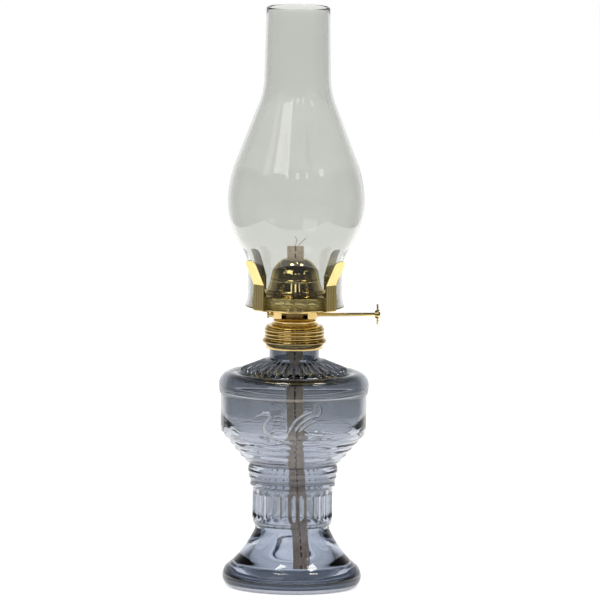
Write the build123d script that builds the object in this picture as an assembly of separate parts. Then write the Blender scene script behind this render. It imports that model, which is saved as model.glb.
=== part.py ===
"""A glass oil lamp with a screw-in brass flat-wick burner and a lift-off bulb chimney.

Millimetres, +Z up. The origin is the centre of the foot's rest ring, the burner's
front is towards -Y and the wick knob points along +X.
"""

import math
import os

from build123d import *

# Glass font: radii of the outside, then the rises that stack up from the table.
foot_radius = 38.4
rest_ring_outer = 34.5
rest_ring_width = 3.0
foot_recess = 1.8
foot_lip_bulge = 6.0
foot_lip_top = 11.5
foot_lip_inset = 2.2
instep_radius = 25.2
instep_height = 23.5
instep_lean = 57.5
ankle_radius = 20.6
waist_radius = 22.0
waist_round = 3.0
band_radius = 24.8
band_bulge = 0.3
ledge_width = 0.7
ledge_rise = 1.4
bowl_radius = 40.2
bowl_edge_width = 0.7
bowl_edge_height = 2.8
girdle_step = 0.6
girdle_step_rise = 1.2
girdle_radius = 41.4
shoulder_radius = 31.0
crown_radius = 30.2
neck_radius = 13.7
neck_bore = 11.2
foot_height = 32.0
ankle_rise = 5.0
waist_length = 17.5
band_length = 13.0
underside_rise = 21.0
panel_height = 18.5
girdle_rise = 5.0
shoulder_rise = 6.2
crown_rise = 8.7
neck_length = 11.1
font_wall = 3.4
throat_wall = 2.4
ankle_wall = 2.2
bowl_floor_rise = 0.9
well_floor = 4.8
well_flare_drop = 2.0
well_foot_radius = 29.5
well_foot_height = 12.5
well_corner = 1.7

# Flutes pressed into the waist.
flute_count = 24
flute_depth = 1.2
flute_scoop = 4.0
flute_margin = 1.0

# Ribs that radiate over the crown.
rib_count = 40
rib_outer_radius = 28.4
rib_inner_radius = 15.6
rib_outer_size = 1.4
rib_inner_size = 0.8
rib_proud = 0.6

# Screw collar, cemented over the neck of the font.
collar_gap = 5.3
collar_head = 7.0
collar_radius = 16.6
collar_flange = 17.7
collar_bead = 0.6
collar_beads = 3
collar_flange_rise = 3.0
collar_flange_edge = 1.3
collar_flange_top = 1.1
collar_round = 1.5
collar_sheet = 0.8
thread_clearance = 0.3

# Burner base: threaded skirt, neck and cup.
burner_sheet = 0.7
skirt_radius = 11.0
skirt_end_gap = 0.9
seat_radius = 12.6
seat_height = 1.0
seat_bulge = 0.3
burner_neck_radius = 11.8
burner_neck_length = 2.5
cup_radius = 14.3
cup_height = 7.5
window_width = 14.5
window_sill = 1.75
window_head = 2.35

# Gallery: seat plate and upright ring that the chimney stands round.
gallery_radius = 26.6
gallery_sheet = 0.5
gallery_bore = 10.4
ring_radius = 23.5
ring_height = 6.0
ring_bulge = 0.5

# Perforated air screen inside the gallery.
screen_gap = 0.4
screen_height = 3.4
screen_sheet = 0.5
screen_hole_radius = 1.1
screen_hole_rows = {10.0: 16, 14.5: 24}

# Deflector dome over the wick.
dome_sheet = 0.6
dome_rim_width = 1.4
dome_lip_radius = 16.6
dome_lip_rise = 1.4
dome_lip_height = 1.2
dome_foot_radius = 14.9
dome_cone_rise = 5.5
dome_radius = 13.1
dome_flat = 1.9
dome_bead = 0.45
dome_slot_length = 12.0
dome_slot_width = 3.8

# Spring prongs that hold the chimney.
prong_angles = {
    "prong_back_right": 45.0,
    "prong_back_left": 135.0,
    "prong_front_left": 225.0,
    "prong_front_right": 315.0,
}
prong_width = 7.8
prong_sheet = 0.5
prong_clearance = 0.4
prong_upright = 14.3
prong_leaf_rise = 13.7
prong_leaf_lean = 7.4
prong_fold = 0.4
prong_bend = 1.0
prong_tip_round = 2.8
prong_foot_margin = 1.8
prong_rib_radius = 0.45
prong_rib_pitch = 1.8
prong_ribs = 4
rivet_radius = 0.7
rivet_head_radius = 1.4
rivet_head_height = 0.9
rivet_inset = 1.5

# Flat wick and the tube that guides it.
wick_width = 9.3
wick_thickness = 2.0
wick_show = 7.4
wick_straight = 65.0
wick_bend_height = 57.0
wick_bend_offset = 2.0
wick_tail_height = 14.0
wick_tail_offset = 5.4
wick_edge_round = 0.8
wick_bend_share = 0.45
wick_clearance = 0.3
tube_sheet = 0.4
tube_below_floor = 5.5
tube_top_gap = 4.0
tube_slot_ease = 0.4

# Wick raiser: shaft, sprockets, housing and knob.
shaft_radius = 1.0
shaft_clearance = 0.05
shaft_tilt = 1.0
shaft_rise = 5.9
shaft_left = 14.0
shaft_right = 46.7
shaft_head_radius = 1.6
shaft_head_length = 1.2
sprocket_tip_radius = 3.0
sprocket_root_radius = 2.1
sprocket_teeth = 10
sprocket_thickness = 0.6
sprocket_spread = 2.3
sprocket_gap = 0.3
housing_sheet = 0.5
housing_half_width = 4.6
housing_clearance = 0.4
knob_radius = 5.8
knob_thickness = 1.2
knob_boss_radius = 2.2
knob_boss_length = 3.0
knob_scallops = 20
knob_scallop_radius = 0.7
knob_overhang = 1.2

# Chimney: radii of the outside and heights above the gallery seat.
chimney_foot_radius = 27.3
fitter_radius = 25.9
fitter_bottom = 7.7
fitter_top = 20.2
bulb_radius = 37.6
bulb_height = 57.7
bulb_swell_share = 0.32
draw_in_rise = 11.2
draw_in_length = 50.1
flue_ease = 8.6
flue_radius = 18.2
rim_radius = 17.5
chimney_height = 164.8
chimney_wall = 1.6

# Levels that follow from the sizes above.
ankle_level = foot_height
waist_level = ankle_level + ankle_rise
waist_top = waist_level + waist_length
band_top = waist_top + band_length
wall_level = band_top + underside_rise
panel_top = wall_level + panel_height
girdle_level = panel_top + girdle_rise
shoulder_level = girdle_level + shoulder_rise
crown_edge = shoulder_level + shoulder_radius - crown_radius
crown_level = shoulder_level + crown_rise
neck_top = crown_level + neck_length
collar_bottom = crown_level + collar_gap
collar_top = neck_top + collar_head
collar_bore = skirt_radius + thread_clearance
floor_top = collar_top + burner_sheet
cup_bottom = collar_top + burner_neck_length
cup_top = cup_bottom + cup_height
gallery_top = cup_top + gallery_sheet
ring_top = gallery_top + ring_height
screen_top = gallery_top + screen_height
dome_lip_level = ring_top + dome_sheet + dome_lip_rise
dome_foot_level = dome_lip_level + dome_lip_height
dome_level = dome_foot_level + dome_cone_rise
dome_top = dome_level + dome_radius - dome_flat
tube_top = dome_top - tube_top_gap
tube_half_width = wick_width / 2 + wick_clearance + tube_sheet
tube_half_depth = wick_thickness / 2 + wick_clearance + tube_sheet
shaft_level = collar_top + shaft_rise
shaft_set_back = wick_thickness / 2 + sprocket_gap + sprocket_tip_radius
shaft_line = Pos(0, -shaft_set_back, shaft_level) * Rot(0, 90 - shaft_tilt, 0)
prong_inner = chimney_foot_radius + prong_clearance
ring_inner = ring_radius - ring_bulge - burner_sheet
rivet_ring = ring_inner - rivet_inset
screen_radius = rivet_ring - rivet_head_radius - screen_gap


def between(a, b, share):
    """The value that lies the given share of the way from a to b."""
    return a + (b - a) * share


def turned(outline):
    """Revolve a closed outline, drawn as radius and height, about the lamp's axis."""
    return revolve(Plane.XZ * make_face(outline), Axis.Z)


def flat_oval(half_length, half_width):
    """A flat section with round ends, as of a tube pressed flat."""
    return SlotOverall(2 * half_length, 2 * half_width)


def make_font():
    """Pressed glass font: foot, fluted waist, bowl, ribbed crown and neck, hollow to the foot."""
    lean = math.radians(instep_lean)
    instep = (instep_radius, instep_height)
    girdle = (girdle_radius, girdle_level)
    outside = [
        Polyline(
            (0, foot_recess),
            (rest_ring_outer - rest_ring_width - foot_recess, foot_recess),
            (rest_ring_outer - rest_ring_width, 0),
            (rest_ring_outer, 0),
        ),
        ThreePointArc(
            (rest_ring_outer, 0),
            (foot_radius, foot_lip_bulge),
            (foot_radius - foot_lip_inset, foot_lip_top),
        ),
        TangentArc(
            instep,
            (foot_radius - foot_lip_inset, foot_lip_top),
            tangent=(math.cos(lean), -math.sin(lean)),
        ),
        TangentArc(instep, (ankle_radius, ankle_level), tangent=(-math.cos(lean), math.sin(lean))),
        Line((ankle_radius, ankle_level), (ankle_radius, waist_level - waist_round)),
        TangentArc(
            (waist_radius, waist_level),
            (ankle_radius, waist_level - waist_round),
            tangent=(0, -1),
        ),
        Line((waist_radius, waist_level), (waist_radius, waist_top)),
        ThreePointArc(
            (waist_radius, waist_top),
            ((waist_radius + band_radius) / 2 + band_bulge, (waist_top + band_top) / 2),
            (band_radius, band_top),
        ),
        Polyline(
            (band_radius, band_top),
            (band_radius + ledge_width, band_top + ledge_rise),
            (bowl_radius - bowl_edge_width, wall_level - bowl_edge_height),
            (bowl_radius, wall_level),
            (bowl_radius, panel_top),
            (bowl_radius + girdle_step, panel_top + girdle_step_rise),
        ),
        TangentArc(
            girdle,
            (bowl_radius + girdle_step, panel_top + girdle_step_rise),
            tangent=(0, -1),
        ),
        TangentArc(girdle, (shoulder_radius, shoulder_level), tangent=(0, 1)),
        Polyline(
            (shoulder_radius, shoulder_level),
            (crown_radius, crown_edge),
            (neck_radius, crown_level),
            (neck_radius, neck_top),
            (neck_bore, neck_top),
        ),
    ]
    well_radius = ankle_radius - ankle_wall
    well_foot = (well_foot_radius, well_foot_height)
    inner_radius = bowl_radius - font_wall
    under_shoulder = (shoulder_radius, shoulder_level - font_wall)
    inside = [
        Polyline((neck_bore, neck_top), (neck_bore, crown_level - font_wall), under_shoulder),
        TangentArc((inner_radius, girdle_level), under_shoulder, tangent=(0, 1)),
        Polyline(
            (inner_radius, girdle_level),
            (inner_radius, wall_level + bowl_floor_rise),
            (band_radius - throat_wall, band_top + font_wall),
            (well_radius, waist_top),
            (well_radius, ankle_level - well_flare_drop),
        ),
        TangentArc((well_radius, ankle_level - well_flare_drop), well_foot, tangent=(0, -1)),
        TangentArc((well_foot_radius - well_corner, well_floor), well_foot, tangent=(1, 0)),
        Line((well_foot_radius - well_corner, well_floor), (0, well_floor)),
        Line((0, well_floor), (0, foot_recess)),
    ]
    glass = turned(outside + inside) + crown_ribs()
    return glass - flute_scoops()


def flute_scoops():
    """The round-ended scoops that press the flutes into the waist."""
    arch = math.sqrt(flute_scoop**2 - (flute_scoop - flute_depth) ** 2)
    scoop_length = waist_length - 2 * flute_margin - 2 * arch
    scoop = Cylinder(flute_scoop, scoop_length)
    for end in (-1, 1):
        scoop += Pos(0, 0, end * scoop_length / 2) * Sphere(flute_scoop)
    middle = Pos(0, 0, waist_level + waist_length / 2)
    ring = PolarLocations(waist_radius - flute_depth + flute_scoop, flute_count)
    return [middle * place * scoop for place in ring]


def crown_ribs():
    """Tapered half-round ribs that lie along the slope of the crown."""
    fall = math.atan2(crown_level - crown_edge, crown_radius - neck_radius)
    length = (rib_outer_radius - rib_inner_radius) / math.cos(fall)
    radius = (rib_outer_radius + rib_inner_radius) / 2
    level = crown_edge + (crown_radius - radius) * math.tan(fall)
    sunk = (rib_outer_size + rib_inner_size) / 2 - rib_proud
    spread = math.degrees(math.atan2(rib_outer_size - rib_inner_size, length))
    lie = Pos(radius, 0, level) * Rot(0, math.degrees(fall) - 90 + spread, 0) * Pos(-sunk, 0, 0)
    rib = lie * Cone(rib_outer_size, rib_inner_size, length)
    return [Rot(0, 0, 360 * step / rib_count) * rib for step in range(rib_count)]


def make_collar():
    """Rolled brass collar: flange, beaded skirt, top plate and the bore for the burner."""
    groove = collar_radius - collar_bead
    skirt_inside = groove - collar_sheet
    flange_low = collar_bottom + collar_flange_rise
    flange_high = flange_low + collar_flange_edge
    beads_bottom = flange_high + collar_flange_top
    beads_top = collar_top - collar_round
    pitch = (beads_top - beads_bottom) / collar_beads
    outline = [
        Polyline(
            (skirt_inside, collar_bottom),
            (groove, collar_bottom),
            (collar_flange, flange_low),
            (collar_flange, flange_high),
            (groove, beads_bottom),
        )
    ]
    for step in range(collar_beads):
        low = beads_bottom + pitch * step
        outline.append(
            ThreePointArc((groove, low), (collar_radius, low + pitch / 2), (groove, low + pitch))
        )
    outline += [
        RadiusArc((groove, beads_top), (groove - collar_round, collar_top), -collar_round),
        Polyline(
            (groove - collar_round, collar_top),
            (collar_bore, collar_top),
            (collar_bore, neck_top),
            (collar_bore + collar_sheet, neck_top),
            (collar_bore + collar_sheet, collar_top - collar_sheet),
            (skirt_inside, collar_top - collar_sheet),
            (skirt_inside, collar_bottom),
        ),
    ]
    return turned(outline)


def make_collar_cement():
    """Plaster that fills the collar and locks it to the neck."""
    outer = collar_radius - collar_bead - collar_sheet
    return turned(
        Polyline(
            (neck_radius, collar_bottom + collar_bead),
            (outer, collar_bottom + collar_bead),
            (outer, collar_top - collar_sheet),
            (collar_bore + collar_sheet, collar_top - collar_sheet),
            (collar_bore + collar_sheet, neck_top),
            (neck_radius, neck_top),
            close=True,
        )
    )


def make_burner_base():
    """Spun brass base: threaded skirt, seat bead and cup, with a window on the raiser side."""
    sheet = burner_sheet
    skirt_bottom = neck_top + skirt_end_gap
    outline = [
        Polyline(
            (0, collar_top),
            (skirt_radius - sheet, collar_top),
            (skirt_radius - sheet, skirt_bottom),
            (skirt_radius, skirt_bottom),
            (skirt_radius, collar_top),
            (seat_radius, collar_top),
        ),
        ThreePointArc(
            (seat_radius, collar_top),
            (seat_radius + seat_bulge, collar_top + seat_height / 2),
            (seat_radius, collar_top + seat_height),
        ),
        Polyline(
            (seat_radius, collar_top + seat_height),
            (burner_neck_radius, collar_top + seat_height + sheet / 2),
            (burner_neck_radius, cup_bottom),
        ),
        TangentArc((cup_radius, cup_top), (burner_neck_radius, cup_bottom), tangent=(0, -1)),
        Line((cup_radius, cup_top), (cup_radius - sheet, cup_top)),
        TangentArc(
            (cup_radius - sheet, cup_top),
            (burner_neck_radius - sheet, cup_bottom),
            tangent=(0, -1),
        ),
        Polyline(
            (burner_neck_radius - sheet, cup_bottom),
            (burner_neck_radius - sheet, floor_top),
            (0, floor_top),
            (0, collar_top),
        ),
    ]
    base = turned(outline)
    tube_hole = Plane.XY.offset(collar_top - sheet) * flat_oval(tube_half_width, tube_half_depth)
    base -= extrude(tube_hole, 3 * sheet)
    window_height = cup_height - window_sill - window_head
    window_place = Pos(0, -cup_radius, cup_bottom + window_sill + window_height / 2)
    base -= window_place * Box(window_width, cup_radius, window_height)
    return base - shaft_bearing()


def shaft_bearing():
    """The running hole for the wick shaft, long enough to cross the whole burner."""
    return shaft_line * Cylinder(shaft_radius + shaft_clearance, 4 * cup_radius)


def make_wick_tube():
    """Flat brass tube that guides the wick, open in front where the sprockets reach in."""
    bottom = collar_top - tube_below_floor
    outer = flat_oval(tube_half_width, tube_half_depth)
    inner = flat_oval(tube_half_width - tube_sheet, tube_half_depth - tube_sheet)
    tube = extrude(Plane.XY.offset(bottom) * (outer - inner), tube_top - bottom)
    slot_width = sprocket_thickness + 2 * sprocket_gap + tube_slot_ease
    slot_height = 2 * sprocket_tip_radius
    for side in (-1, 1):
        slot_level = shaft_level + side * sprocket_spread * math.tan(math.radians(shaft_tilt))
        slot_place = Pos(side * sprocket_spread, -tube_half_depth, slot_level)
        tube -= slot_place * Box(slot_width, 2 * tube_half_depth - tube_sheet, slot_height)
    return tube


def make_raiser_housing():
    """Folded brass cover round the sprockets, soldered to the tube and the floor of the cup."""
    front = shaft_set_back + sprocket_tip_radius + housing_clearance + housing_sheet
    height = cup_top - floor_top - housing_clearance
    outer = Polyline(
        (-housing_half_width, -tube_half_depth),
        (-housing_half_width, -front),
        (housing_half_width, -front),
        (housing_half_width, -tube_half_depth),
        (housing_half_width - housing_sheet, -tube_half_depth),
        (housing_half_width - housing_sheet, -front + housing_sheet),
        (-housing_half_width + housing_sheet, -front + housing_sheet),
        (-housing_half_width + housing_sheet, -tube_half_depth),
        close=True,
    )
    return extrude(Plane.XY.offset(floor_top) * make_face(outer), height) - shaft_bearing()


def make_gallery_ring():
    """Seat plate for the chimney with the upright ring that keeps it central."""
    bulge_level = gallery_top + ring_height / 2
    outline = [
        Polyline(
            (gallery_bore, cup_top),
            (gallery_radius, cup_top),
            (gallery_radius, gallery_top),
            (ring_radius - ring_bulge, gallery_top),
        ),
        ThreePointArc(
            (ring_radius - ring_bulge, gallery_top),
            (ring_radius, bulge_level),
            (ring_radius - ring_bulge, ring_top),
        ),
        Line((ring_radius - ring_bulge, ring_top), (ring_inner, ring_top)),
        ThreePointArc(
            (ring_inner, ring_top),
            (ring_inner + ring_bulge, bulge_level),
            (ring_inner, gallery_top),
        ),
        Polyline((ring_inner, gallery_top), (gallery_bore, gallery_top), (gallery_bore, cup_top)),
    ]
    plate = turned(outline)
    rivet_hole = Cylinder(rivet_radius, 4 * burner_sheet)
    return plate - [place * rivet_hole for place in rivet_places()]


def rivet_places():
    """Where the rivets stand: one through the foot of each prong."""
    level = Pos(0, 0, cup_top)
    return [level * Rot(0, 0, angle) * Pos(rivet_ring, 0, 0) for angle in prong_angles.values()]


def make_air_screen():
    """Perforated brass dish that spreads the air round the wick tube."""
    sheet = screen_sheet
    dish = turned(
        Polyline(
            (0, screen_top - sheet),
            (screen_radius - sheet, screen_top - sheet),
            (screen_radius - sheet, gallery_top),
            (screen_radius, gallery_top),
            (screen_radius, screen_top),
            (0, screen_top),
            close=True,
        )
    )
    opening = flat_oval(tube_half_width + wick_clearance / 2, tube_half_depth + wick_clearance / 2)
    dish -= extrude(Plane.XY.offset(screen_top - 2 * sheet) * opening, 3 * sheet)
    hole = Pos(0, 0, screen_top) * Cylinder(screen_hole_radius, 4 * sheet)
    holes = []
    for radius, count in screen_hole_rows.items():
        holes += [place * hole for place in PolarLocations(radius, count)]
    return dish - holes


def dome_line(inset):
    """One face of the dome's sheet, from the rim to the crown, set in by the given amount."""
    rim = ring_radius
    top = math.sqrt((dome_radius - inset) ** 2 - (dome_top - inset - dome_level) ** 2)
    return [
        Polyline(
            (rim - dome_rim_width, ring_top + dome_sheet - inset),
            (dome_lip_radius - inset, dome_lip_level - inset),
            (dome_lip_radius - inset, dome_foot_level - inset),
            (dome_foot_radius - inset, dome_foot_level - inset),
            (dome_radius - inset, dome_level),
        ),
        RadiusArc((dome_radius - inset, dome_level), (top, dome_top - inset), -(dome_radius - inset)),
        Line((top, dome_top - inset), (0, dome_top - inset)),
    ]


def make_deflector_dome():
    """Spun brass dome with a flange that lies on the ring, a bead and the flame slot."""
    rim = ring_radius
    outline = dome_line(0) + dome_line(dome_sheet)
    outline += [
        Polyline(
            (rim - dome_rim_width, ring_top),
            (rim, ring_top),
            (rim, ring_top + dome_sheet),
            (rim - dome_rim_width, ring_top + dome_sheet),
        ),
        Line((0, dome_top - dome_sheet), (0, dome_top)),
    ]
    dome = turned(outline)
    bead = Pos(0, 0, dome_level) * Torus(dome_radius - dome_sheet / 2, dome_sheet / 2 + dome_bead)
    inside = Pos(0, 0, dome_level) * Cylinder(dome_radius - dome_sheet, 4 * dome_bead)
    dome += bead - inside
    slot = flat_oval(dome_slot_length / 2, dome_slot_width / 2)
    return dome - extrude(Plane.XY.offset(tube_top) * slot, 2 * tube_top_gap)


def make_prong(angle):
    """Sprung brass strip: foot under the gallery, ribbed upright and a leaf that leans out."""
    middle = prong_inner + prong_sheet / 2
    foot_level = cup_top - prong_sheet / 2
    knee = cup_top + prong_upright
    path = FilletPolyline(
        (rivet_ring - prong_foot_margin, foot_level),
        (middle, foot_level),
        (middle, knee),
        (middle + prong_leaf_lean, knee + prong_leaf_rise),
        radius=[prong_fold, prong_bend],
    )
    side_view = trace(path, prong_sheet)
    strip = extrude(Plane.XZ * side_view, prong_width / 2, both=True)

    tip = knee + prong_leaf_rise + prong_sheet
    height = tip - foot_level + prong_tip_round + 2 * prong_sheet
    face_view = RectangleRounded(prong_width, height, prong_tip_round)
    face_plane = Plane((0, 0, tip - height / 2), x_dir=(0, 1, 0), z_dir=(1, 0, 0))
    strip = strip & extrude(face_plane * face_view, 2 * gallery_radius)

    rib_length = prong_upright - 2 * prong_bend
    rib = Cylinder(prong_rib_radius, rib_length)
    for step in range(prong_ribs):
        across = (step - (prong_ribs - 1) / 2) * prong_rib_pitch
        strip += Pos(prong_inner + prong_sheet, across, cup_top + prong_upright / 2) * rib
    prong = Rot(0, 0, angle) * strip
    return prong - [place * Cylinder(rivet_radius, 4 * burner_sheet) for place in rivet_places()]


def make_prong_rivets():
    """One rivet for each prong, headed above the plate and below the foot."""
    shank_length = gallery_sheet + prong_sheet
    half_head = rivet_head_height / 2
    rivet = Pos(0, 0, gallery_sheet - shank_length / 2) * Cylinder(rivet_radius, shank_length)
    rivet += Pos(0, 0, gallery_sheet + half_head) * Cylinder(rivet_head_radius, rivet_head_height)
    rivet += Pos(0, 0, -prong_sheet - half_head) * Cylinder(rivet_head_radius, rivet_head_height)
    return Compound(children=[place * rivet for place in rivet_places()])


def wick_path():
    """The wick's centre line: straight through the burner, then leaning to one side."""
    top = (0, dome_top + wick_show)
    points = [
        top,
        (0, top[1] - wick_straight),
        (wick_bend_offset, wick_bend_height),
        (wick_tail_offset, wick_tail_height),
    ]
    runs = [math.dist(a, b) for a, b in zip(points, points[1:])]
    headings = [math.atan2(b[0] - a[0], a[1] - b[1]) for a, b in zip(points, points[1:])]
    radii = []
    for step in range(len(points) - 2):
        turn = abs(headings[step + 1] - headings[step])
        radii.append(wick_bend_share * min(runs[step], runs[step + 1]) / math.tan(turn / 2))
    print("wick bend radii", [round(radius) for radius in radii])
    return Plane.XZ * FilletPolyline(*points, radius=radii)


def make_wick():
    """Flat woven wick, standing out of the dome and hanging down into the foot."""
    path = wick_path()
    section = RectangleRounded(wick_width, wick_thickness, wick_edge_round)
    strip = sweep(Plane(origin=path @ 0, x_dir=(1, 0, 0), z_dir=path % 0) * section, path)
    share = strip.volume / (section.area * path.length)
    print("wick length", round(path.length, 1), "volume share", round(share, 4))
    return strip


def make_wick_shaft():
    """Raiser shaft, headed outside the cup on the far side from the knob."""
    length = shaft_left + shaft_right
    shaft = Pos(0, 0, length / 2 - shaft_left) * Cylinder(shaft_radius, length)
    head = Cylinder(shaft_head_radius, shaft_head_length)
    shaft += Pos(0, 0, -shaft_left - shaft_head_length / 2) * head
    return shaft_line * shaft


def make_wick_sprocket(side):
    """Toothed wheel that feeds the wick, fixed on the shaft."""
    rim = []
    for step in range(2 * sprocket_teeth):
        reach = sprocket_tip_radius if step % 2 == 0 else sprocket_root_radius
        turn = math.pi * step / sprocket_teeth
        rim.append((reach * math.cos(turn), reach * math.sin(turn)))
    wheel = extrude(make_face(Polyline(*rim, close=True)), sprocket_thickness / 2, both=True)
    wheel -= Cylinder(shaft_radius, 2 * sprocket_thickness)
    return shaft_line * Pos(0, 0, side * sprocket_spread) * wheel


def make_wick_knob():
    """Stamped brass knob: scalloped disc with a boss on each face."""
    disc = Cylinder(knob_radius, knob_thickness)
    scallop = Cylinder(knob_scallop_radius, 2 * knob_thickness)
    scallop_ring = PolarLocations(knob_radius + knob_scallop_radius / 2, knob_scallops)
    disc -= [place * scallop for place in scallop_ring]
    knob = disc + Cylinder(knob_boss_radius, knob_boss_length)
    knob -= Cylinder(shaft_radius, 2 * knob_boss_length)
    return shaft_line * Pos(0, 0, shaft_right - knob_overhang) * knob


def chimney_line(inset):
    """One face of the chimney wall, from the foot to the rim, set in by the given amount."""

    def point(radius, height):
        return (radius - inset, gallery_top + height)

    fitter_foot = point(fitter_radius, fitter_bottom)
    fitter_head = point(fitter_radius, fitter_top)
    bulb = point(bulb_radius, bulb_height)
    swell = tuple(between(low, high, bulb_swell_share) for low, high in zip(fitter_head, bulb))
    corner_low = Vector(*point(bulb_radius, bulb_height + draw_in_rise))
    corner_high = corner_low + Vector(flue_radius - bulb_radius, draw_in_length)
    slope = (corner_high - corner_low).normalized()
    shoulder = corner_low + slope * draw_in_rise
    throat = corner_high - slope * flue_ease
    flue = corner_high + Vector(0, flue_ease)
    return [
        TangentArc(fitter_foot, point(chimney_foot_radius, 0), tangent=(0, -1)),
        Line(fitter_foot, fitter_head),
        TangentArc(fitter_head, swell, tangent=(0, 1)),
        TangentArc(bulb, swell, tangent=(0, -1)),
        TangentArc(bulb, shoulder, tangent=(0, 1)),
        Line(shoulder, throat),
        TangentArc(flue, throat, tangent=(0, -1)),
        Line(flue, point(rim_radius, chimney_height - chimney_wall / 2)),
    ]


def make_chimney():
    """Blown glass chimney: flared foot, bulb and flue with a fire-polished rim."""
    rim_level = gallery_top + chimney_height
    rim_side = rim_level - chimney_wall / 2
    outline = chimney_line(0) + chimney_line(chimney_wall)
    outline += [
        ThreePointArc(
            (rim_radius, rim_side),
            (rim_radius - chimney_wall / 2, rim_level),
            (rim_radius - chimney_wall, rim_side),
        ),
        Line((chimney_foot_radius, gallery_top), (chimney_foot_radius - chimney_wall, gallery_top)),
    ]
    return turned(outline)


pieces = {
    "font": make_font(),
    "collar": make_collar(),
    "collar_cement": make_collar_cement(),
    "burner_base": make_burner_base(),
    "wick_tube": make_wick_tube(),
    "raiser_housing": make_raiser_housing(),
    "gallery_ring": make_gallery_ring(),
    "air_screen": make_air_screen(),
    "deflector_dome": make_deflector_dome(),
    "prong_rivets": make_prong_rivets(),
    "wick": make_wick(),
    "wick_shaft": make_wick_shaft(),
    "wick_sprocket_left": make_wick_sprocket(-1),
    "wick_sprocket_right": make_wick_sprocket(1),
    "wick_knob": make_wick_knob(),
    "chimney": make_chimney(),
}
for name, angle in prong_angles.items():
    pieces[name] = make_prong(angle)

os.makedirs("parts", exist_ok=True)
for name, shape in pieces.items():
    export_step(shape, f"parts/{name}.step")
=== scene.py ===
import math

import bpy
import numpy as np
from mathutils import Matrix, Vector


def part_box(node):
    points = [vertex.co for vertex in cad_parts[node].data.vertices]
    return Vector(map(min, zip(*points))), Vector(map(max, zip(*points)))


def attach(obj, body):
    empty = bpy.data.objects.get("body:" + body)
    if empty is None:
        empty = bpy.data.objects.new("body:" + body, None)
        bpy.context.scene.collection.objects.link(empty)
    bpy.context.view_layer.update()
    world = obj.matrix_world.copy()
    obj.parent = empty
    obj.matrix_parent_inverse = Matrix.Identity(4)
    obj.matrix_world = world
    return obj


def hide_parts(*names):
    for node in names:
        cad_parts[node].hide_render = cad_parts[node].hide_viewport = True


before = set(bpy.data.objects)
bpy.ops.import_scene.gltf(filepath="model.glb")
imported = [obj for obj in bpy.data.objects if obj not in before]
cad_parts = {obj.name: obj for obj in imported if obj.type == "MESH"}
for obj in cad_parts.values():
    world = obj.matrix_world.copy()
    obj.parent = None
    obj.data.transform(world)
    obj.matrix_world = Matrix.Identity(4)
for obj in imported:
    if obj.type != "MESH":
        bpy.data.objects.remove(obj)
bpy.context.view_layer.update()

# Studio: a white sheet under the lamp and a white wall behind it in a dim room, a wide soft box that
# gives even light, two ceiling lamps and windows that the brass and the glass mirror, and pale sheets
# that show only through the glass. The camera stands far back and leans as the photo does.
mm = 0.001
scene = bpy.context.scene
scene.view_settings.view_transform = "Standard"

camera_distance = 5.8
camera_rise = math.radians(7.0)
camera_lean = math.radians(0.71)
camera_sensor = 36.0
view_width = 329.7 * mm
view_centre = Vector((2.8 * mm, 0, 158.6 * mm))

bpy.ops.object.select_all(action="DESELECT")
bpy.ops.object.camera_add()
camera = bpy.context.object
camera.name = "photo_camera"
camera.data.sensor_width = camera_sensor
camera.data.lens = camera_sensor * camera_distance / view_width
camera.data.clip_end = 4 * camera_distance
camera_back = Vector((0, -math.cos(camera_rise), math.sin(camera_rise))) * camera_distance
camera.matrix_world = (
    Matrix.Translation(view_centre + camera_back)
    @ Matrix.Rotation(math.pi / 2 - camera_rise, 4, "X")
    @ Matrix.Rotation(camera_lean, 4, "Z")
)
scene.camera = camera


def hang_softbox(name, place, width, height, brightness, colour, mirrored):
    """A rectangular soft light at place that faces the middle of the lamp, mirrored in it or not."""
    bpy.ops.object.light_add(type="AREA", location=place)
    box = bpy.context.object
    box.name = name
    box.data.shape = "RECTANGLE"
    box.data.size = width
    box.data.size_y = height
    box.data.energy = brightness * math.pi * width * height
    box.data.color = colour
    box.rotation_euler = (view_centre - Vector(place)).to_track_quat("-Z", "Y").to_euler()
    box.visible_glossy = mirrored
    box.visible_transmission = mirrored


daylight = (1.0, 0.98, 0.95)
lamplight = (1.0, 0.95, 0.86)
hang_softbox("front_softbox", (0.1, -1.5, 1.05), 2.4, 0.7, 1.5, daylight, False)
hang_softbox("ceiling_lamp_left", (-0.29, -0.09, 1.75), 0.34, 0.34, 12.0, lamplight, True)
hang_softbox("ceiling_lamp_right", (0.62, 0.03, 1.66), 0.28, 0.28, 12.0, lamplight, True)
hang_softbox("front_window", (-0.70, -1.15, 1.22), 0.75, 0.5, 2.2, daylight, True)
hang_softbox("lit_doorway", (-1.22, -0.66, 0.95), 0.30, 0.25, 0.8, lamplight, True)
for turn, width in ((-17, 0.13), (2, 0.16), (20, 0.10), (50, 0.20)):
    bar_place = Matrix.Rotation(math.radians(turn), 3, "Z") @ Vector((0, -1.4, 0.95))
    hang_softbox("window_bar", bar_place, width, 0.18, 2.2, daylight, True)


def feed_in(tree, feed, socket):
    """Link the socket to feed, another node's output, or set it to feed, a plain value."""
    if isinstance(feed, bpy.types.NodeSocket):
        tree.links.new(feed, socket)
    else:
        socket.default_value = feed


def maths(tree, operation, *feeds):
    """The outcome of an operation on numbers."""
    step = tree.nodes.new("ShaderNodeMath")
    step.operation = operation
    for feed, socket in zip(feeds, step.inputs):
        feed_in(tree, feed, socket)
    return step.outputs["Value"]


def vectors(tree, operation, *feeds):
    """The outcome of an operation on places, directions or colours."""
    step = tree.nodes.new("ShaderNodeVectorMath")
    step.operation = operation
    for feed, socket in zip(feeds, step.inputs):
        feed_in(tree, feed, socket)
    return step.outputs["Value" if operation == "LENGTH" else "Vector"]


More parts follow.
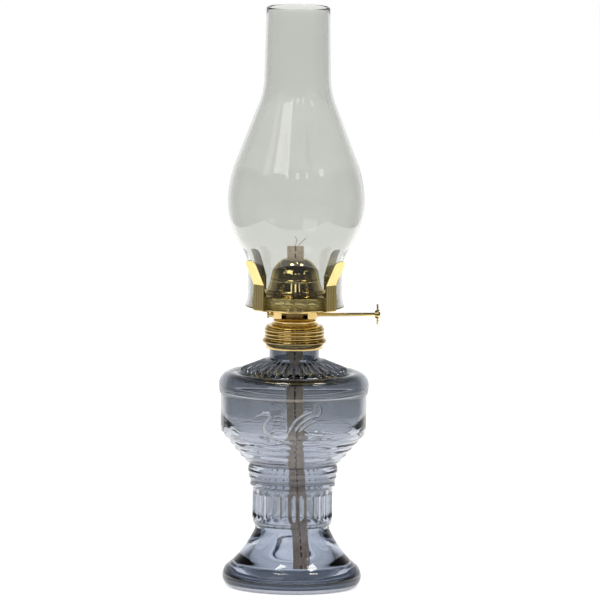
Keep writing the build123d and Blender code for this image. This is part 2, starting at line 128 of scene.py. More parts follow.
def stretch(tree, value, old, new=(0, 1)):
    """The value carried over from the span old to the span new, and held at its ends."""
    span = tree.nodes.new("ShaderNodeMapRange")
    tree.links.new(value, span.inputs["Value"])
    span.inputs["From Min"].default_value, span.inputs["From Max"].default_value = old
    span.inputs["To Min"].default_value, span.inputs["To Max"].default_value = new
    return span.outputs["Result"]


def tints(tree, share, stops):
    """The outputs of a ramp that runs through stops, pairs of a share and a colour in rising order."""
    ramp = tree.nodes.new("ShaderNodeValToRGB")
    tree.links.new(share, ramp.inputs["Fac"])
    elements = ramp.color_ramp.elements
    for stop, (spot, colour) in zip(elements, (stops[0], stops[-1])):
        stop.position = spot
        stop.color = colour
    for spot, colour in stops[1:-1]:
        elements.new(spot).color = colour
    return ramp.outputs


def split_place(tree, place):
    """The X, Y and Z of a place or a direction."""
    split = tree.nodes.new("ShaderNodeSeparateXYZ")
    tree.links.new(place, split.inputs["Vector"])
    return split.outputs


def background(tree, colour, strength):
    """Light of one colour and strength from far off."""
    sky = tree.nodes.new("ShaderNodeBackground")
    feed_in(tree, colour, sky.inputs["Color"])
    feed_in(tree, strength, sky.inputs["Strength"])
    return sky.outputs["Background"]


def either(tree, share, first, second):
    """The first shader where share is 0 and the second where it is 1."""
    choice = tree.nodes.new("ShaderNodeMixShader")
    for feed, socket in zip((share, first, second), choice.inputs):
        tree.links.new(feed, socket)
    return choice.outputs["Shader"]


white = (1, 1, 1, 1)
grey = (0.5, 0.5, 0.5, 1)
dim_room = (
    (0.30, (0.045, 0.046, 0.043, 1)),
    (0.47, (0.05, 0.05, 0.05, 1)),
    (0.51, (0.22, 0.22, 0.22, 1)),
    (0.80, (0.34, 0.34, 0.34, 1)),
    (0.90, (0.75, 0.75, 0.75, 1)),
    (0.97, white),
)
sheet_paleness = 0.85

surround = bpy.data.worlds.new("white_surround")
scene.world = surround
surround.use_nodes = True
tree = surround.node_tree
tree.nodes.clear()
ray = tree.nodes.new("ShaderNodeLightPath").outputs
heading = split_place(tree, tree.nodes.new("ShaderNodeTexCoord").outputs["Generated"])
room = tints(tree, stretch(tree, heading["Y"], (-1, 1)), dim_room)["Color"]
table_front = stretch(tree, heading["Z"], (-0.03, -0.12), (0, 0.3))
facing = stretch(tree, heading["Y"], (-0.20, -0.45))
room_and_table = vectors(tree, "MAXIMUM", room, maths(tree, "MULTIPLY", table_front, facing))
never_mirrored = maths(tree, "LESS_THAN", ray["Glossy Depth"], 0.5)
straight_through = maths(tree, "MULTIPLY", ray["Is Transmission Ray"], never_mirrored)
pale_sheets = maths(tree, "MULTIPLY", straight_through, sheet_paleness)
seen_past_glass = vectors(tree, "MAXIMUM", room_and_table, pale_sheets)
wall_fall = stretch(tree, heading["Z"], (0.10, 0.45), (1, 0.22))
mirrored = background(tree, seen_past_glass, wall_fall)
ambient = background(tree, grey, stretch(tree, ray["Is Transmission Ray"], (0, 1), (1, 2.2)))
backdrop = background(tree, white, 1)
seen_in_lamp = maths(tree, "MAXIMUM", ray["Is Glossy Ray"], ray["Is Transmission Ray"])
not_scattered = maths(tree, "LESS_THAN", ray["Diffuse Depth"], 0.5)
seen_clearly = maths(tree, "MULTIPLY", seen_in_lamp, not_scattered)
lit_or_mirrored = either(tree, seen_clearly, ambient, mirrored)
seen_or_lit = either(tree, ray["Is Camera Ray"], lit_or_mirrored, backdrop)
tree.links.new(seen_or_lit, tree.nodes.new("ShaderNodeOutputWorld").inputs["Surface"])


def object_place(tree):
    """Where a spot of the surface is in the lamp's own frame."""
    return tree.nodes.new("ShaderNodeTexCoord").outputs["Object"]


floor_width = 0.9
floor_front = 0.30
floor_back = 5.0
shade_inner = 26 * mm
shade_outer = 42 * mm
floor_glow = 0.55
bpy.ops.object.select_all(action="DESELECT")
bpy.ops.mesh.primitive_plane_add(size=1, location=(0, 0, -0.2 * mm))
floor = bpy.context.object
floor.name = "floor"
for corner in floor.data.vertices:
    corner.co.x *= floor_width
    corner.co.y = floor_back if corner.co.y > 0 else -floor_front
floor_paint = bpy.data.materials.new("white_floor")
floor_paint.use_nodes = True
tree = floor_paint.node_tree
tree.nodes.clear()
matt = tree.nodes.new("ShaderNodeBsdfDiffuse")
matt.inputs["Color"].default_value = (0.86, 0.86, 0.86, 1)
ray = tree.nodes.new("ShaderNodeLightPath").outputs
floor_seen = maths(tree, "MAXIMUM", ray["Is Camera Ray"], ray["Is Glossy Ray"])
lit_round = stretch(tree, vectors(tree, "LENGTH", object_place(tree)), (shade_inner, shade_outer))
unshaded = maths(tree, "MAXIMUM", ray["Is Camera Ray"], lit_round)
floor_share = maths(tree, "MULTIPLY", floor_seen, unshaded)
glow = tree.nodes.new("ShaderNodeEmission")
tree.links.new(maths(tree, "MULTIPLY", floor_share, floor_glow), glow.inputs["Strength"])
floor_sum = tree.nodes.new("ShaderNodeAddShader")
tree.links.new(matt.outputs["BSDF"], floor_sum.inputs[0])
tree.links.new(glow.outputs["Emission"], floor_sum.inputs[1])
floor_out = tree.nodes.new("ShaderNodeOutputMaterial")
tree.links.new(floor_sum.outputs["Shader"], floor_out.inputs["Surface"])
floor.data.materials.append(floor_paint)

# Font: the oil reservoir, one piece of smoke-grey pressed glass from the foot to the neck. The mould
# gives it the flutes of the waist, the ripples under the bowl, the swans on its wall and the ribs of
# the crown. It stands on the ring under its foot, which is ground matt at its edge, and that edge is
# tinted pale as a painted reflection of the white table.
font_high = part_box("font")[1]
neck_top = font_high[2]
girdle_radius = font_high[0]
foot_radius = 38.4 * mm
lip_level = 6.0 * mm
lip_top = 11.5 * mm
rest_ring_outer = 34.5 * mm
rest_ring_inner = 31.5 * mm
foot_recess = 1.8 * mm
ground_edge = 2.6 * mm
lip_inner = 33.0 * mm
instep = (25.2 * mm, 23.5 * mm)
instep_lean = math.radians(57.5)
ankle_radius = 20.6 * mm
ankle_level = 32.0 * mm
waist_radius = 22.0 * mm
waist_level = 37.0 * mm
waist_top = 54.5 * mm
waist_round = 3.0 * mm
band_radius = 24.8 * mm
band_top = 67.5 * mm
bowl_radius = 40.2 * mm
wall_level = 88.5 * mm
panel_top = 107.0 * mm
girdle_level = 112.0 * mm
shoulder_radius = 31.0 * mm
shoulder_level = 118.2 * mm
crown_radius = 30.2 * mm
crown_level = 126.9 * mm
neck_radius = 13.7 * mm
neck_bore = 11.2 * mm
bowl_wall = 3.4 * mm
well_radius = 18.4 * mm
well_floor = 4.8 * mm
well_corner = 1.7 * mm
well_flare_level = 30.0 * mm
well_foot = (29.5 * mm, 12.5 * mm)
glass_segments = 360


def straight(start, end, gap):
    """Points from start to end along a line, about gap apart, without the first."""
    steps = max(1, round(math.dist(start, end) / gap))
    return [tuple(Vector(start).lerp(Vector(end), step / steps)) for step in range(1, steps + 1)]


def bow(start, end, gap, leave=None, arrive=None):
    """Points on the arc from start to end, about gap apart, without the first.

    The arc leaves start in the heading leave, or else comes in at end in the heading arrive.
    """
    if leave is None:
        back = bow(end, start, gap, leave=(-arrive[0], -arrive[1]))
        return back[-2::-1] + [tuple(end)]
    heading = Vector(leave).normalized()
    across = Vector((-heading.y, heading.x))
    chord = Vector(end) - Vector(start)
    turn = 2 * math.atan2(chord.dot(across), chord.dot(heading))
    radius = chord.length / (2 * math.sin(turn / 2))
    centre = Vector(start) + across * radius
    steps = max(3, round(abs(turn * radius) / gap))
    spoke = Vector(start) - centre
    turns = [Matrix.Rotation(turn * step / steps, 2) for step in range(1, steps + 1)]
    return [tuple(centre + each @ spoke) for each in turns]


def trace(outline, *moves):
    """Carry the outline on along moves and hand it back.

    A move is its end, the gap between its points and, for an arc, the heading that it leaves or arrives in.
    """
    for end, gap, *bend in moves:
        draw = bow if bend else straight
        outline += draw(outline[-1], end, gap, **dict(bend))
    return outline


def spin_outline(name, outline, segments):
    """String the outline, given as radius and height, and spin it round the lamp's axis."""
    bpy.ops.object.select_all(action="DESELECT")
    bpy.ops.mesh.primitive_plane_add()
    piece = bpy.context.object
    piece.name = name
    bpy.ops.object.mode_set(mode="EDIT")
    bpy.ops.mesh.merge(type="CENTER")
    bpy.ops.transform.translate(value=(outline[0][0], 0, outline[0][1]))
    for here, there in zip(outline, outline[1:]):
        step = (there[0] - here[0], 0, there[1] - here[1])
        bpy.ops.mesh.extrude_vertices_move(TRANSFORM_OT_translate={"value": step})
    bpy.ops.mesh.select_all(action="SELECT")
    bpy.ops.mesh.spin(steps=segments, angle=2 * math.pi, center=(0, 0, 0), axis=(0, 0, 1))
    bpy.ops.mesh.select_all(action="SELECT")
    bpy.ops.mesh.remove_doubles(threshold=0.001 * mm)
    bpy.ops.mesh.normals_make_consistent(inside=False)
    bpy.ops.object.mode_set(mode="OBJECT")
    bpy.ops.object.shade_smooth()
    return piece


def press_relief(piece, relief):
    """Move each vertex along its normal by relief(angle from the front, radius, height)."""
    count = len(piece.data.vertices)
    places = np.empty(3 * count)
    normals = np.empty(3 * count)
    piece.data.vertices.foreach_get("co", places)
    piece.data.vertices.foreach_get("normal", normals)
    places = places.reshape(-1, 3)
    angle = np.arctan2(places[:, 0], -places[:, 1])
    radius = np.hypot(places[:, 0], places[:, 1])
    lift = relief(angle, radius, places[:, 2])
    places += normals.reshape(-1, 3) * lift[:, None]
    piece.data.vertices.foreach_set("co", places.ravel())
    piece.data.update()


def ramp_up(value, low, high):
    """Zero below low, one above high and a smooth rise between."""
    share = np.clip((value - low) / (high - low), 0, 1)
    return share * share * (3 - 2 * share)


def inside_band(value, low, high, ease):
    """One between low and high, falling smoothly to zero over ease inside each end."""
    return ramp_up(value, low, low + ease) * (1 - ramp_up(value, high - ease, high))


flute_count = 24
flute_scoop = 4.0 * mm
flute_depth = 1.2 * mm
flute_margin = 1.0 * mm


def flutes(angle, radius, height):
    """Round-ended scoops pressed into the waist."""
    pitch = 2 * math.pi / flute_count
    across = ((angle / pitch) % 1 - 0.5) * pitch * waist_radius
    arch = math.sqrt(flute_scoop**2 - (flute_scoop - flute_depth) ** 2)
    low = waist_level + flute_margin + arch
    high = waist_top - flute_margin - arch
    along = height - np.clip(height, low, high)
    away = np.minimum(np.hypot(across, along), arch)
    scoop = np.sqrt(flute_scoop**2 - away**2) - (flute_scoop - flute_depth)
    return -scoop * (height > waist_level) * (height < waist_top)


rib_count = 40
rib_proud = 1.15 * mm
rib_outer_radius = 29.9 * mm
rib_inner_radius = 15.4 * mm
rib_end_ease = 1.4 * mm
rib_width_share = 0.82
rib_least_share = 0.35


def crown_ribs(angle, radius, height):
    """Half-round ribs that radiate over the crown and taper towards the neck."""
    pitch = 2 * math.pi / rib_count
    across = np.abs((angle / pitch) % 1 - 0.5) * 2
    ridge = np.sqrt(np.clip(1 - (across / rib_width_share) ** 2, 0, 1))
    reach = inside_band(radius, rib_inner_radius, rib_outer_radius, rib_end_ease)
    size = rib_least_share + (1 - rib_least_share) * ramp_up(radius, rib_inner_radius, rib_outer_radius)
    return rib_proud * ridge * reach * size * (height > shoulder_level)


ring_levels = {
    57.0 * mm: 0.95 * mm,
    61.0 * mm: 0.45 * mm,
    64.4 * mm: 0.45 * mm,
    68.0 * mm: -1.0 * mm,
}
ring_half_width = 0.85 * mm
groove_level = 58.9 * mm
ledge_level = 107.9 * mm
ledge_proud = 0.5 * mm
ledge_half_width = 0.65 * mm


def band_rings(angle, radius, height):
    """Rings round the band over the waist, a groove over them and a bead along the bowl's ledge."""
    lift = np.zeros_like(height)
    for level, proud in ring_levels.items():
        lift += proud * np.exp(-(((height - level) / ring_half_width) ** 2))
    ledge = ledge_proud * np.exp(-(((height - ledge_level) / ledge_half_width) ** 2))
    return lift * (radius < band_radius + 2 * mm) + ledge * (radius > bowl_radius - 1 * mm)


ripple_pitch = 3.6 * mm
ripple_proud = 0.36 * mm


def ripples(angle, radius, height):
    """Wavy rings of water on the slope under the bowl."""
    lively = ramp_up(height, band_top + 6 * mm, wall_level - 4 * mm)
    chop = 0.13 * np.sin(12 * angle) + 0.10 * np.sin(20 * angle + 1.1)
    slope = height / ripple_pitch + 0.10 * np.sin(3 * angle + 0.6) + lively * chop
    swell = np.sin(2 * math.pi * slope) * (0.8 + 0.2 * lively * np.sin(8 * angle + 5 * slope))
    on_slope = inside_band(height, band_top + 2.0 * mm, wall_level - 0.6 * mm, 2.4 * mm)
    return ripple_proud * swell * on_slope


swan_count = 2
swan_reach = 26
swan_low = 82
swan_high = 105
swan_line_proud = 0.66 * mm
# Each stroke: half its width, how proud it stands, and its points across and up, in millimetres.
swan_strokes = (
    (0.60, 0.60, ((-17.4, 99.6), (-19.2, 99.0), (-20.8, 98.2))),
    (
        1.05,
        0.74,
        ((-14.6, 100.0), (-13.0, 98.6), (-14.0, 96.6), (-16.6, 93.6), (-16.2, 90.4), (-12.0, 87.6)),
    ),
    (0.70, 0.62, ((-9.6, 86.6), (-4.4, 85.2), (2.0, 85.4), (8.0, 87.0), (12.0, 88.4))),
    (0.62, 0.62, ((8.0, 91.4), (12.6, 90.4), (18.0, 90.2), (22.4, 89.2))),
    (0.62, 0.55, ((7.0, 89.6), (12.0, 88.8), (17.0, 88.4))),
    (0.55, 0.62, ((-10.4, 98.4), (-8.6, 99.2), (-5.2, 98.6))),
    (0.55, 0.62, ((-10.8, 96.3), (-8.8, 97.0), (-5.0, 96.2))),
    (0.55, 0.62, ((-11.0, 94.1), (-8.8, 94.8), (-4.6, 93.8))),
    (0.55, 0.62, ((-10.6, 91.9), (-8.4, 92.5), (-4.0, 91.5))),
    (0.55, 0.62, ((-9.4, 89.8), (-7.2, 90.2), (-3.0, 89.2))),
    (0.62, 0.66, ((-3.6, 89.2), (-1.6, 93.4), (1.6, 97.2), (6.2, 100.2), (10.4, 101.6))),
    (0.62, 0.66, ((-1.0, 88.8), (1.6, 92.6), (5.4, 96.2), (10.0, 98.8), (13.6, 99.4))),
    (0.62, 0.62, ((2.0, 89.2), (4.6, 92.2), (8.4, 95.0), (12.2, 96.6))),
    (0.55, 0.43, ((-19.0, 87.2), (-16.0, 86.4), (-13.0, 85.2), (-8.0, 83.9))),
    (0.55, 0.43, ((11.0, 85.4), (15.0, 86.4), (19.0, 86.2), (23.0, 86.8))),
)
# The rounds of the body and the head: the middle, half the length and height, and how proud.
swan_rounds = (((-3.0, 89.2), (11.4, 3.4), 0.62), ((-15.4, 99.9), (2.7, 1.7), 0.72))


def rounded(points):
    """The same line with its corners cut three times."""
    points = np.array(points)
    for _ in range(3):
        near = 0.75 * points[:-1] + 0.25 * points[1:]
        far = 0.25 * points[:-1] + 0.75 * points[1:]
        cut = np.stack((near, far), axis=1).reshape(-1, 2)
        points = np.vstack((points[:1], cut, points[-1:]))
    return points


def swans(angle, radius, height, margin=0.0):
    """A swan on the water, raised from the bowl's wall in front and again at the back."""
    side = 2 * math.pi / swan_count
    across = ((angle / side + 0.5) % 1 - 0.5) * side * bowl_radius / mm
    up = height / mm
    on_wall = (up > swan_low) & (up < swan_high) & (radius > bowl_radius - 6 * mm)
    near = np.flatnonzero(on_wall & (np.abs(across) < swan_reach))
    u = across[near]
    v = up[near]
    lift = np.zeros(len(near))
    for (middle_u, middle_v), (half_length, half_height), proud in swan_rounds:
        span = ((u - middle_u) / half_length) ** 2 + ((v - middle_v) / half_height) ** 2
        lift = np.maximum(lift, proud * mm * np.sqrt(np.clip(1 - span, 0, 1)))
    for half_width, proud, points in swan_strokes:
        line = rounded(points)
        away = np.full(len(near), 1e3)
        for (u0, v0), (u1, v1) in zip(line, line[1:]):
            du, dv = u1 - u0, v1 - v0
            share = np.clip(((u - u0) * du + (v - v0) * dv) / (du**2 + dv**2), 0, 1)
            away = np.minimum(away, np.hypot(u - u0 - share * du, v - v0 - share * dv))
        lift = np.maximum(lift, proud * mm * np.clip(1 - (away / (half_width + margin)) ** 2, 0, 1))
    raised = np.zeros_like(height)
    raised[near] = lift
    return raised


def pressed_work(angle, radius, height):
    """All that the mould presses into the outside of the font."""
    work = (flutes, crown_ribs, band_rings, ripples, swans)
    return sum(each(angle, radius, height) for each in work)


fine = 0.6 * mm
even = 0.9 * mm
coarse = 1.4 * mm
lean_in = (-math.cos(instep_lean), math.sin(instep_lean))
lip_edge = (foot_radius - 2.2 * mm, lip_top)
step_edge = (bowl_radius + 0.6 * mm, panel_top + 1.2 * mm)
crown_edge = (crown_radius, shoulder_level + 0.8 * mm)
outside = trace(
    [(0, foot_recess)],
    ((rest_ring_inner - foot_recess, foot_recess), 6 * mm),
    ((rest_ring_inner, 0), coarse),
    ((rest_ring_outer, 0), coarse),
    ((foot_radius, lip_level), even, ("arrive", (0, 1))),
    (lip_edge, even, ("leave", (0, 1))),
    (instep, even, ("arrive", lean_in)),
    ((ankle_radius, ankle_level), even, ("leave", lean_in)),
    ((ankle_radius, waist_level - waist_round), coarse),
    ((waist_radius, waist_level), fine, ("arrive", (0, 1))),
    ((waist_radius, waist_top), even),
    ((band_radius, band_top), fine, ("leave", (0.35, 1))),
    ((band_radius + 0.7 * mm, band_top + 1.4 * mm), fine),
    ((bowl_radius - 0.7 * mm, wall_level - 2.8 * mm), even),
    ((bowl_radius, wall_level), fine),
    ((bowl_radius, panel_top), fine),
    (step_edge, fine),
    ((girdle_radius, girdle_level), even, ("arrive", (0, 1))),
    ((shoulder_radius, shoulder_level), even, ("leave", (0, 1))),
    (crown_edge, fine),
    ((neck_radius, crown_level), even),
    ((neck_radius, neck_top), 12 * mm),
)

under_shoulder = (shoulder_radius, shoulder_level - bowl_wall)
inner_radius = bowl_radius - bowl_wall
inside = trace(
    [(neck_radius, neck_top), (neck_bore, neck_top)],
    ((neck_bore, crown_level - bowl_wall), 12 * mm),
    (under_shoulder, 5 * mm),
    ((inner_radius, girdle_level), 2 * mm, ("arrive", (0, -1))),
    ((inner_radius, wall_level + 0.9 * mm), 8 * mm),
    ((band_radius - 2.4 * mm, band_top + bowl_wall), 8 * mm),
    ((well_radius, waist_top), 6 * mm),
    ((well_radius, well_flare_level), 12 * mm),
    (well_foot, 2 * mm, ("leave", (0, -1))),
    ((well_foot[0] - well_corner, well_floor), 1 * mm, ("arrive", (-1, 0))),
    ((0, well_floor), 8 * mm),
)

font = spin_outline("font_glass", outside, glass_segments)
centres = np.array([face.center for face in font.data.polygons])
face_angle = np.arctan2(centres[:, 0], -centres[:, 1])
carved = swans(face_angle, np.hypot(centres[:, 0], centres[:, 1]), centres[:, 2], margin=0.5) > 0
bpy.ops.object.mode_set(mode="EDIT")
bpy.ops.mesh.select_mode(type="FACE")
bpy.ops.mesh.select_all(action="DESELECT")
bpy.ops.object.mode_set(mode="OBJECT")
font.data.polygons.foreach_set("select", carved)
bpy.ops.object.mode_set(mode="EDIT")
bpy.ops.mesh.subdivide(number_cuts=1)
bpy.ops.mesh.select_mode(type="VERT")
bpy.ops.object.mode_set(mode="OBJECT")
bpy.ops.object.shade_smooth()
spots = np.array([corner.co for corner in font.data.vertices])
spot_angle = np.arctan2(spots[:, 0], -spots[:, 1])
swan_lift = swans(spot_angle, np.hypot(spots[:, 0], spots[:, 1]), spots[:, 2])
# How far each spot is up a swan's raised line, kept for the painted highlight along the swans.
swan_highlight_lines = font.data.attributes.new("swan_highlight_lines", "FLOAT", "POINT")
swan_highlight_lines.data.foreach_set("value", np.clip(swan_lift / swan_line_proud, 0, 1))
press_relief(font, pressed_work)
font_inside = spin_outline("font_inside", inside, glass_segments)
bpy.ops.object.select_all(action="DESELECT")
font_inside.select_set(True)
font.select_set(True)
bpy.context.view_layer.objects.active = font
bpy.ops.object.join()
bpy.ops.object.mode_set(mode="EDIT")
bpy.ops.mesh.select_all(action="SELECT")
bpy.ops.mesh.remove_doubles(threshold=0.002 * mm)
bpy.ops.mesh.normals_make_consistent(inside=False)
bpy.ops.object.mode_set(mode="OBJECT")
bpy.ops.object.shade_smooth_by_angle(angle=math.radians(40))


def new_finish(name):
    """A new material, its node tree and the inputs of its shader."""
    finish = bpy.data.materials.new(name)
    finish.use_nodes = True
    return finish, finish.node_tree, finish.node_tree.nodes["Principled BSDF"].inputs


def clouds(tree, scale, detail=2):
    """A cloudy change from spot to spot, of a share between 0 and 1."""
    noise = tree.nodes.new("ShaderNodeTexNoise")
    noise.inputs["Scale"].default_value = scale
    noise.inputs["Detail"].default_value = detail
    tree.links.new(object_place(tree), noise.inputs["Vector"])
    return noise.outputs["Fac"]


def blend(tree, share, under, over):
    """The colour under where share is 0 and the colour over where it is 1."""
    mix = tree.nodes.new("ShaderNodeMix")
    mix.data_type = "RGBA"
    for feed, name in ((share, "Factor"), (under, "A"), (over, "B")):
        feed_in(tree, feed, mix.inputs[name])
    return mix.outputs["Result"]


# The smoke-grey tint changes with height: pale at the foot, darker at the waist, pale on the slope under
# the bowl and darkest over the bowl and crown. The pale foot is painted light from the white table under
# it.
waist_tint = (0.54, 0.57, 0.625, 1)
slope_tint = (0.71, 0.735, 0.795, 1)
smoke_and_table_light_tints = (
    (0.22, (0.72, 0.76, 0.83, 1)),
    (0.30, waist_tint),
    (0.45, waist_tint),
    (0.50, slope_tint),
    (0.61, slope_tint),
    (0.68, (0.46, 0.485, 0.52, 1)),
    (0.90, (0.36, 0.38, 0.41, 1)),
)
# Round the lip, beyond lip_inner: a pale band up to about 2.7 mm is a painted reflection of the white
# table, and a dark band from about 3.6 to 7.8 mm is painted shade for the shaded table seen through the
# thick glass. It fades out by about 9.5 mm.
lip_light_and_shade_tints = (
    (0.19, (0.80, 0.82, 0.92, 1)),
    (0.26, (0.55, 0.60, 0.68, 1)),
    (0.56, (0.55, 0.60, 0.68, 1)),
    (0.68, (0.55, 0.60, 0.68, 0)),
)
lip_paint_height = 14 * mm
painted_highlight_tint = (0.96, 0.97, 1.0, 1)
groove_painted_shade = (0.22, 0.235, 0.26, 1)
smoke_drift = 0.03

smoke_glass, tree, glass = new_finish("smoke_glass")
glass["Transmission Weight"].default_value = 1.0
glass["IOR"].default_value = 1.5
glass["Roughness"].default_value = 0.015
level = split_place(tree, object_place(tree))["Z"]
off_axis = vectors(tree, "LENGTH", vectors(tree, "MULTIPLY", object_place(tree), (1, 1, 0)))
drift = maths(tree, "MULTIPLY_ADD", clouds(tree, 45), smoke_drift, stretch(tree, level, (0, neck_top)))
# The glass tint by height, with the painted table light at the foot.
smoke = tints(tree, drift, smoke_and_table_light_tints)["Color"]
# Painted light and shade round the lip, laid over the glass tint.
lip_light_and_shade = tints(tree, stretch(tree, level, (0, lip_paint_height)), lip_light_and_shade_tints)
in_lip = maths(tree, "GREATER_THAN", off_axis, lip_inner)
lip_paint_share = maths(tree, "MULTIPLY", in_lip, lip_light_and_shade["Alpha"])
lip_painted = blend(tree, lip_paint_share, smoke, lip_light_and_shade["Color"])
# Painted highlight: the swans' raised lines and the bead of the ledge are tinted near white, as if the
# light caught them.
on_ledge = maths(tree, "COMPARE", level, ledge_level, 0.8 * mm)
on_swan = tree.nodes.new("ShaderNodeAttribute")
on_swan.attribute_name = "swan_highlight_lines"
painted_highlight_share = maths(tree, "MAXIMUM", on_ledge, on_swan.outputs["Fac"])
highlight_painted = blend(tree, painted_highlight_share, lip_painted, painted_highlight_tint)
# Painted shade: two thin dark rings, one in the groove over the band and one under the slope, outside the
# waist.
in_groove = maths(tree, "COMPARE", level, groove_level, 0.9 * mm)
under_slope = maths(tree, "COMPARE", level, band_top + 0.6 * mm, 0.4 * mm)
outside_band = maths(tree, "GREATER_THAN", off_axis, waist_radius)
groove_shade_share = maths(tree, "MULTIPLY", maths(tree, "MAXIMUM", in_groove, under_slope), outside_band)
tree.links.new(blend(tree, groove_shade_share, highlight_painted, groove_painted_shade), glass["Base Color"])
smoky_body = tree.nodes.new("ShaderNodeVolumeAbsorption")
smoky_body.inputs["Color"].default_value = (0.55, 0.60, 0.68, 1)
smoky_body.inputs["Density"].default_value = 48.0
tree.links.new(smoky_body.outputs["Volume"], tree.nodes["Material Output"].inputs["Volume"])
font.data.materials.append(smoke_glass)

# The matt edge of the foot: a ground finish whose pale tint is a painted reflection of the white table.
ground_glass_painted_reflection, tree, frosted = new_finish("ground_glass_painted_reflection")
frosted["Roughness"].default_value = 0.4
frost_and_reflection = tints(tree, clouds(tree, 500), ((0, (0.58, 0.61, 0.70, 1)), (1, (0.80, 0.83, 0.92, 1))))
tree.links.new(frost_and_reflection["Color"], frosted["Base Color"])
font.data.materials.append(ground_glass_painted_reflection)
ground_slot = len(font.data.materials) - 1
for face in font.data.polygons:
    if face.center.z < ground_edge and math.hypot(face.center.x, face.center.y) > lip_inner:
        face.material_index = ground_slot
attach(font, "font")
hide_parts("font")

# Cement: the plaster that holds the collar on the neck. It is poured between them wet, sets hard and
# stays hidden.
set_plaster, tree, plaster = new_finish("set_plaster")
plaster["Roughness"].default_value = 0.9
chalk = tints(tree, clouds(tree, 600), ((0, (0.56, 0.53, 0.47, 1)), (1, (0.76, 0.74, 0.68, 1))))
tree.links.new(chalk["Color"], plaster["Base Color"])


def dress_node(name, finish):
    """Give a carried-over part its finish."""
    part = bpy.data.objects[name]
    part.data.materials.clear()
    part.data.materials.append(finish)


dress_node("collar_cement", set_plaster)

# Collar: the rolled brass cap over the neck, with three round beads and a flange at its foot. The
# burner screws into its bore.
collar_low, collar_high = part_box("collar")
collar_bottom = collar_low[2]
collar_top = collar_high[2]
collar_flange = collar_high[0]
collar_radius = 16.6 * mm
collar_groove = 16.0 * mm
collar_sheet = 0.8 * mm
collar_bore = 11.3 * mm
collar_round = 1.5 * mm
collar_beads = 3
flange_low = collar_bottom + 3.0 * mm
flange_high = flange_low + 1.3 * mm
beads_bottom = flange_high + 1.1 * mm
beads_top = collar_top - collar_round
brass_segments = 192


def polished_brass(name, light, deep, dull, metallic=1.0):
    """Lacquered brass: a cloudy change of tint, and a polish that is a little worn in places."""
    finish, tree, metal = new_finish(name)
    metal["Metallic"].default_value = metallic
    tint = tints(tree, clouds(tree, 130, 4), ((0.35, (*deep, 1)), (0.62, (*light, 1))))
    tree.links.new(tint["Color"], metal["Base Color"])
    polish = stretch(tree, clouds(tree, 900), (0, 1), (0.6 * dull, 1.4 * dull))
    tree.links.new(polish, metal["Roughness"])
    return finish


gilt_brass = polished_brass("gilt_brass", (0.70, 0.53, 0.24), (0.63, 0.45, 0.17), 0.13)
bright_brass = polished_brass("bright_brass", (0.90, 0.74, 0.34), (0.84, 0.66, 0.26), 0.07)

outline = trace(
    [(collar_groove - collar_sheet, collar_bottom), (collar_groove - 0.3 * mm, collar_bottom)],
    ((collar_flange, flange_low + 0.4 * mm), 0.3 * mm, ("leave", (0.1, 1))),
    ((collar_groove, beads_bottom), 0.3 * mm, ("leave", (0.3, 1))),
)
for bead in range(collar_beads):
    pitch = (beads_top - beads_bottom) / collar_beads
    crest = (collar_radius, beads_bottom + (bead + 0.5) * pitch)
    trace(
        outline,
        (crest, 0.2 * mm, ("arrive", (0, 1))),
        ((collar_groove, beads_bottom + (bead + 1) * pitch), 0.2 * mm, ("leave", (0, 1))),
    )
trace(
    outline,
    ((collar_groove - collar_round, collar_top), 0.3 * mm, ("leave", (0, 1))),
    ((collar_bore, collar_top), 2 * mm),
    ((collar_bore, neck_top), 4 * mm),
    ((collar_bore + collar_sheet, neck_top), 1 * mm),
    ((collar_bore + collar_sheet, collar_top - collar_sheet), 4 * mm),
    ((collar_groove - collar_sheet, collar_top - collar_sheet), 2 * mm),
    (outline[0], 4 * mm),
)
collar = spin_outline("collar_cap", outline, brass_segments)
bpy.ops.object.shade_smooth_by_angle(angle=math.radians(45))
collar.data.materials.append(gilt_brass)
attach(collar, "font")
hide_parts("collar")

# Burner base: spun brass with the thread that screws into the collar, a seat bead and a cup. A
# window in the front of the cup shows the plate round the wick wheels.
base_low, base_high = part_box("burner_base")
skirt_bottom = base_low[2]
cup_top = base_high[2]
cup_radius = base_high[0]
cup_bottom = cup_top - 7.5 * mm
sheet = 0.7 * mm
skirt_radius = 11.0 * mm
seat_radius = 12.6 * mm
seat_top = collar_top + 1.0 * mm
burner_neck_radius = 11.8 * mm
floor_top = collar_top + sheet
thread_turns = 4
thread_deep = 0.35 * mm
window_width = 14.5 * mm
window_low = cup_bottom + 1.75 * mm
window_high = cup_top - 2.35 * mm
wick_slot_half = 5.35 * mm
wick_slot_deep = 1.7 * mm


def cut_away(piece, cutter):
    """Cut the shape of cutter out of piece."""
    bpy.ops.object.select_all(action="DESELECT")
    piece.select_set(True)
    bpy.context.view_layer.objects.active = piece
    cut = piece.modifiers.new("cut", "BOOLEAN")
    cut.operation = "DIFFERENCE"
    cut.solver = "EXACT"
    cut.object = cutter
    bpy.ops.object.modifier_apply(modifier=cut.name)
    bpy.data.objects.remove(cutter, do_unlink=True)


def flat_oval_block(half_length, half_width, low, high):
    """An upright block with a flat section and round ends, to cut the wick's slots."""
    bpy.ops.object.select_all(action="DESELECT")
    bpy.ops.mesh.primitive_cylinder_add(
        vertices=48, radius=half_width, depth=high - low, location=(0, 0, (low + high) / 2)
    )
    block = bpy.context.object
    bpy.ops.object.transform_apply(location=True, rotation=True, scale=True)
    for corner in block.data.vertices:
        corner.co.x += math.copysign(half_length - half_width, corner.co.x)
    return block


